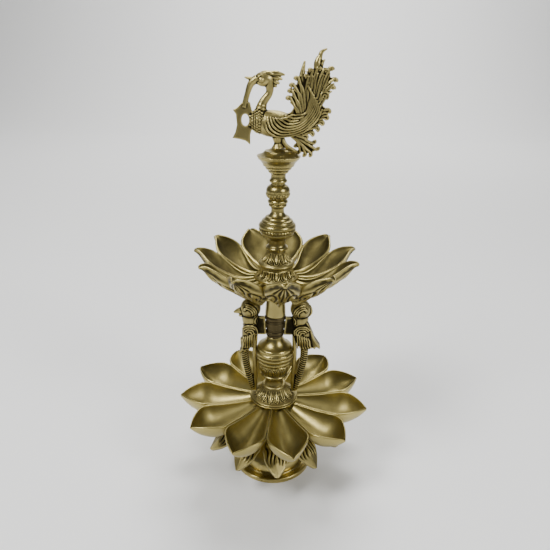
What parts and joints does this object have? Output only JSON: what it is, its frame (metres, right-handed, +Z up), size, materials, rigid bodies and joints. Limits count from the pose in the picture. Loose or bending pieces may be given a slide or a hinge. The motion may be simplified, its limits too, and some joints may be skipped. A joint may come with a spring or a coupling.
{
  "type": "standing oil lamp",
  "caption": "Standing brass oil lamp: lotus of spoon petals on a round foot, stem with bird brackets, petalled bowl, turned upper stem and a bird finial, all screwed together.",
  "frame": {"origin": "centre of the foot's flat underside", "axes": "+Z up the stem; the finial bird faces -X and the bird brackets stand at -X and +X"},
  "size_m": [0.2129, 0.2135, 0.47],
  "materials": {
    "petal_brass": "satin, hand polished",
    "polished_brass": "polished",
    "turned_brass": "satin, dark in the grooves",
    "carved_brass": "antiqued, dark in the recesses",
    "dark_brass": "dark patina",
    "plain_brass": "as turned"
  },
  "bodies": {
    "base": {"foot": "polished_brass", "leaf_ring": "turned_brass", "lotus_plate": "turned_brass", "base_bolt": "plain_brass", "base_washer": "plain_brass", "skirt_leaf_01": "carved_brass", "skirt_leaf_02": "carved_brass", "skirt_leaf_03": "carved_brass", "skirt_leaf_04": "carved_brass", "skirt_leaf_05": "carved_brass", "skirt_leaf_06": "carved_brass", "skirt_leaf_07": "carved_brass", "skirt_leaf_08": "carved_brass", "skirt_leaf_09": "carved_brass", "skirt_leaf_10": "carved_brass", "skirt_leaf_11": "carved_brass", "lotus_petal_01": "petal_brass", "lotus_petal_02": "petal_brass", "lotus_petal_03": "petal_brass", "lotus_petal_04": "petal_brass", "lotus_petal_05": "petal_brass", "lotus_petal_06": "petal_brass", "lotus_petal_07": "petal_brass", "lotus_petal_08": "petal_brass", "lotus_petal_09": "petal_brass", "lotus_petal_10": "petal_brass", "lotus_petal_11": "petal_brass"},
    "stem_screw_body": {"stem_screw": "plain_brass"},
    "lower_stem": {"stem_flange": "carved_brass", "urn": "turned_brass", "lower_cone": "turned_brass", "collar": "dark_brass", "stem_rod": "plain_brass", "bird_bracket_left": "carved_brass", "bird_bracket_right": "carved_brass"},
    "bowl_screw_body": {"bowl_screw": "plain_brass"},
    "bowl": {"bowl_stem": "turned_brass", "bowl_plate": "turned_brass", "bowl_petal_01": "petal_brass", "bowl_petal_02": "petal_brass", "bowl_petal_03": "petal_brass", "bowl_petal_04": "petal_brass", "bowl_petal_05": "petal_brass", "bowl_petal_06": "petal_brass", "bowl_petal_07": "petal_brass", "bowl_petal_08": "petal_brass", "bowl_petal_09": "petal_brass", "bowl_petal_10": "petal_brass", "bowl_petal_11": "petal_brass"},
    "upper_stem_screw_body": {"upper_stem_screw": "plain_brass"},
    "upper_stem": {"lower_bell": "carved_brass", "upper_bell": "carved_brass", "top_cone": "turned_brass", "neck_ring": "turned_brass", "bulb": "turned_brass", "top_rod": "plain_brass"},
    "finial_screw_body": {"finial_screw": "plain_brass"},
    "finial": {"finial_cup": "turned_brass", "finial_bird": "carved_brass"}
  },
  "joints": [
    {"name": "lower_stem_rise", "type": "slide", "parent": "base", "child": "stem_screw_body", "axis": [0, 0, 1], "range_m": [0, 0.00802]},
    {"name": "lower_stem_unscrew", "type": "hinge", "parent": "stem_screw_body", "child": "lower_stem", "pos_m": [0, 0, 0.086], "axis": [0, 0, 1], "range_deg": [0, 1920]},
    {"name": "bowl_rise", "type": "slide", "parent": "lower_stem", "child": "bowl_screw_body", "axis": [0, 0, 1], "range_m": [0, 0.00802]},
    {"name": "bowl_unscrew", "type": "hinge", "parent": "bowl_screw_body", "child": "bowl", "pos_m": [0, 0, 0.193], "axis": [0, 0, 1], "range_deg": [0, 1920]},
    {"name": "upper_stem_rise", "type": "slide", "parent": "bowl", "child": "upper_stem_screw_body", "axis": [0, 0, 1], "range_m": [0, 0.00802]},
    {"name": "upper_stem_unscrew", "type": "hinge", "parent": "upper_stem_screw_body", "child": "upper_stem", "pos_m": [0, 0, 0.237], "axis": [0, 0, 1], "range_deg": [0, 1920]},
    {"name": "finial_rise", "type": "slide", "parent": "upper_stem", "child": "finial_screw_body", "axis": [0, 0, 1], "range_m": [0, 0.00802]},
    {"name": "finial_unscrew", "type": "hinge", "parent": "finial_screw_body", "child": "finial", "pos_m": [0, 0, 0.341], "axis": [0, 0, 1], "range_deg": [0, 1920]}
  ],
  "couplings": [
    {"joint": "lower_stem_rise", "follows": "lower_stem_unscrew", "m_per_rad": 0.00023873},
    {"joint": "bowl_rise", "follows": "bowl_unscrew", "m_per_rad": 0.00023873},
    {"joint": "upper_stem_rise", "follows": "upper_stem_unscrew", "m_per_rad": 0.00023873},
    {"joint": "finial_rise", "follows": "finial_unscrew", "m_per_rad": 0.00023873}
  ]
}
